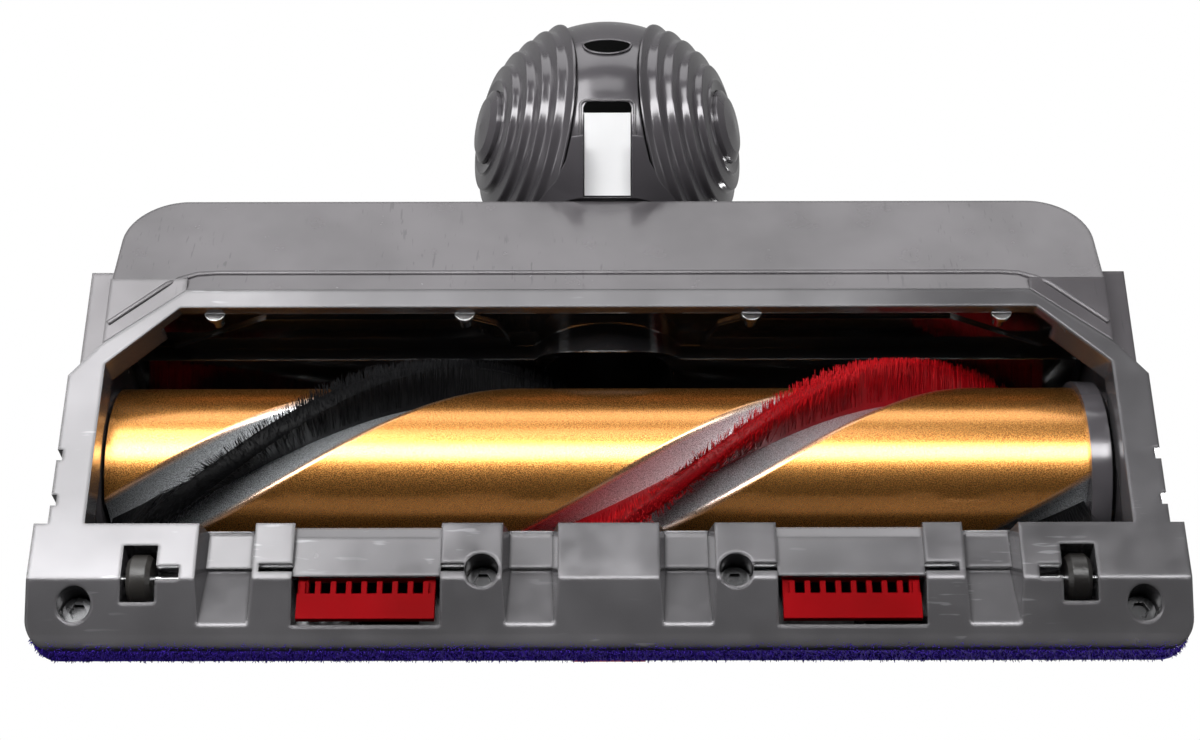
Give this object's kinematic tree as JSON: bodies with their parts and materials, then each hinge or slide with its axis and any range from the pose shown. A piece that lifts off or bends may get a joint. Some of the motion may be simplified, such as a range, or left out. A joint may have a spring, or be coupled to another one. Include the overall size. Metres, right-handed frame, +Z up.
{
  "type": "vacuum floor brush head",
  "caption": "Powered vacuum floor brush head with a helical bristle roller, felt front strip, hinged suction gates and a pivoting ball-wheel neck with wand socket.",
  "frame": {"origin": "centre of the footprint at floor level, the head standing on its sole", "axes": "+Z up from the floor, -Y the head's front with the felt strip, +Y the wand socket, X across the head's width"},
  "size_m": [0.249, 0.2248, 0.1204],
  "materials": {
    "housing": "gloss, dark iron grey",
    "sole": "satin, iron grey",
    "liner": "smoked, near black",
    "dark": "satin black",
    "red": "saturated red",
    "felt": "short blue-violet pile",
    "tube": "gold metallic paint, silver valleys",
    "nylon": "stiff red nylon bristle",
    "carbon": "soft black filament",
    "steel": "bright",
    "roller": "grey-brown",
    "label": "plain white film",
    "motor": "plain",
    "contact": "bright"
  },
  "bodies": {
    "head": {"upper_housing": "housing", "soleplate": "sole", "felt_strip": "felt", "chamber_liner": "liner", "throat_duct": "dark", "end_cheek_drive": "housing", "motor_flange": "dark", "motor_can": "motor", "gearbox": "dark", "roller_axle_left": "steel", "roller_axle_right": "steel", "screw_inner_left": "steel", "screw_inner_right": "steel", "screw_outer_left": "steel", "screw_outer_right": "steel", "bezel_clip_inner_left": "steel", "bezel_clip_inner_right": "steel", "bezel_clip_outer_left": "steel", "bezel_clip_outer_right": "steel"},
    "cap": {"end_cap": "housing", "idle_spindle": "steel"},
    "cap_button": {"cap_button": "sole"},
    "brush": {"brush_tube": "tube", "nylon_row": "nylon", "carbon_row": "carbon", "tube_end_plug": "dark", "drive_web": "dark", "tube_collar": "sole", "idle_bearing": "steel", "drive_dog": "steel"},
    "gate_left": {"gate_left": "red", "gate_pin_left": "steel"},
    "gate_right": {"gate_right": "red", "gate_pin_right": "steel"},
    "slider": {"gate_slider": "red", "gate_link": "dark"},
    "roller_left": {"floor_roller_left": "roller"},
    "roller_right": {"floor_roller_right": "roller"},
    "neck": {"neck_elbow": "housing", "neck_retainer": "dark", "rating_label": "label", "wheel_pin_left": "steel", "wheel_pin_right": "steel"},
    "wheel_left": {"ball_wheel_left": "housing", "hub_cap_left": "housing"},
    "wheel_right": {"ball_wheel_right": "housing", "hub_cap_right": "housing"},
    "socket": {"wand_socket": "housing", "contact_block": "dark", "contact_pin_left": "contact", "contact_pin_right": "contact"}
  },
  "joints": [
    {"name": "cap_slide", "type": "slide", "parent": "head", "child": "cap", "axis": [1, 0, 0], "range_m": [0, 0.03]},
    {"name": "cap_button_press", "type": "slide", "parent": "cap", "child": "cap_button", "axis": [-1, 0, 0], "range_m": [0, 0.0012], "stiffness_N_per_m": 400},
    {"name": "brush_spin", "type": "hinge", "parent": "head", "child": "brush", "pos_m": [0, -0.06036, 0.0295], "axis": [1, 0, 0], "continuous": true},
    {"name": "slider_slide", "type": "slide", "parent": "head", "child": "slider", "axis": [-1, 0, 0], "range_m": [0, 0.012]},
    {"name": "gate_left_hinge", "type": "hinge", "parent": "head", "child": "gate_left", "pos_m": [0.052, -0.09536, 0.0052], "axis": [-1, 0, 0], "range_deg": [0, 20]},
    {"name": "gate_right_hinge", "type": "hinge", "parent": "head", "child": "gate_right", "pos_m": [-0.052, -0.09536, 0.0052], "axis": [-1, 0, 0], "range_deg": [0, 20]},
    {"name": "roller_left_spin", "type": "hinge", "parent": "head", "child": "roller_left", "pos_m": [0.1007, -0.09636, 0.0054], "axis": [1, 0, 0], "continuous": true},
    {"name": "roller_right_spin", "type": "hinge", "parent": "head", "child": "roller_right", "pos_m": [-0.1007, -0.09636, 0.0054], "axis": [1, 0, 0], "continuous": true},
    {"name": "neck_swivel", "type": "hinge", "parent": "head", "child": "neck", "pos_m": [0, 0.03494, 0.03364], "axis": [0, 1, 0], "range_deg": [-75, 75]},
    {"name": "wheel_left_spin", "type": "hinge", "parent": "neck", "child": "wheel_left", "pos_m": [0, 0.03494, 0.03364], "axis": [0.9397, 0, -0.342], "continuous": true},
    {"name": "wheel_right_spin", "type": "hinge", "parent": "neck", "child": "wheel_right", "pos_m": [0, 0.03494, 0.03364], "axis": [-0.9397, 0, -0.342], "continuous": true},
    {"name": "socket_pitch", "type": "hinge", "parent": "neck", "child": "socket", "pos_m": [0, 0.03494, 0.03364], "axis": [1, 0, 0], "range_deg": [-40, 40]}
  ],
  "couplings": [
    {"joint": "gate_left_hinge", "follows": "slider_slide", "rad_per_m": 26.179},
    {"joint": "gate_right_hinge", "follows": "slider_slide", "rad_per_m": 26.179}
  ]
}
